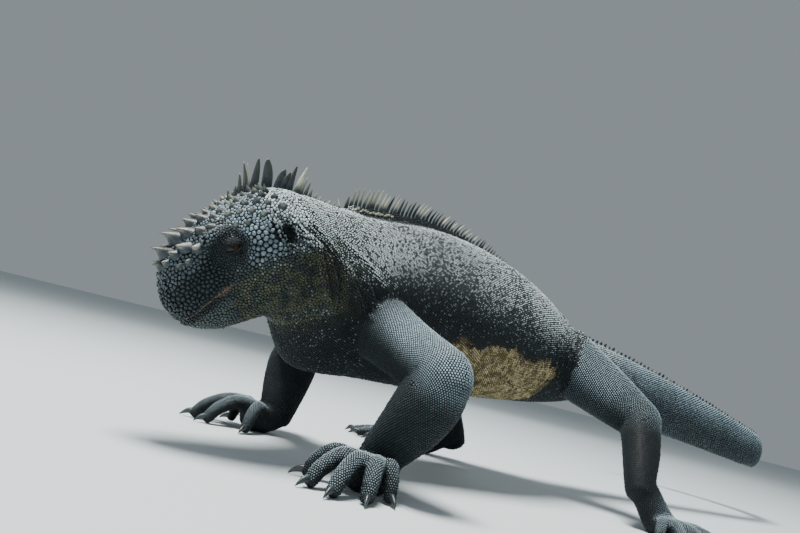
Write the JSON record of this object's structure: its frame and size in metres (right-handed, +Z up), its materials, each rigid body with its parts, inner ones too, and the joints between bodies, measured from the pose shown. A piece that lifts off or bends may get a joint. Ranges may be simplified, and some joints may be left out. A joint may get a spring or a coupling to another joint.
{
  "type": "marine iguana",
  "caption": "Marine iguana walking on the sea floor: crested back, horned blunt head turned down, bent legs, long flattened tail curled at its end.",
  "frame": {"origin": "middle of the animal's footprint box on the floor, at floor height", "axes": "+X from the head towards the tail, +Y towards the animal's right side, +Z up"},
  "size_m": [0.669, 0.3232, 0.165],
  "materials": {
    "hide": "matt, scaly skin",
    "hideDark": "matt, darker scaly skin of the lower jaw",
    "claw": "satin horn",
    "eye": "wet, glossy"
  },
  "bodies": {
    "root": {"head": "hide", "neck": "hide", "torso": "hide", "tail_1": "hide", "tail_2": "hide", "tail_3": "hide", "tail_4": "hide", "tail_5": "hide", "upper_arm_left": "hide", "forearm_left": "hide", "hand_left": "hide", "thigh_left": "hide", "shin_left": "hide", "foot_left": "hide", "upper_arm_right": "hide", "forearm_right": "hide", "hand_right": "hide", "thigh_right": "hide", "shin_right": "hide", "foot_right": "hide", "jaw": "hideDark", "eye_left": "eye", "eye_right": "eye", "claw_finger_left_1": "claw", "claw_finger_left_2": "claw", "claw_finger_left_3": "claw", "claw_finger_left_4": "claw", "claw_finger_left_5": "claw", "claw_finger_right_1": "claw", "claw_finger_right_2": "claw", "claw_finger_right_3": "claw", "claw_finger_right_4": "claw", "claw_finger_right_5": "claw", "claw_toe_left_1": "claw", "claw_toe_left_2": "claw", "claw_toe_left_3": "claw", "claw_toe_left_4": "claw", "claw_toe_left_5": "claw", "claw_toe_right_1": "claw", "claw_toe_right_2": "claw", "claw_toe_right_3": "claw", "claw_toe_right_4": "claw", "claw_toe_right_5": "claw"}
  },
  "joints": []
}
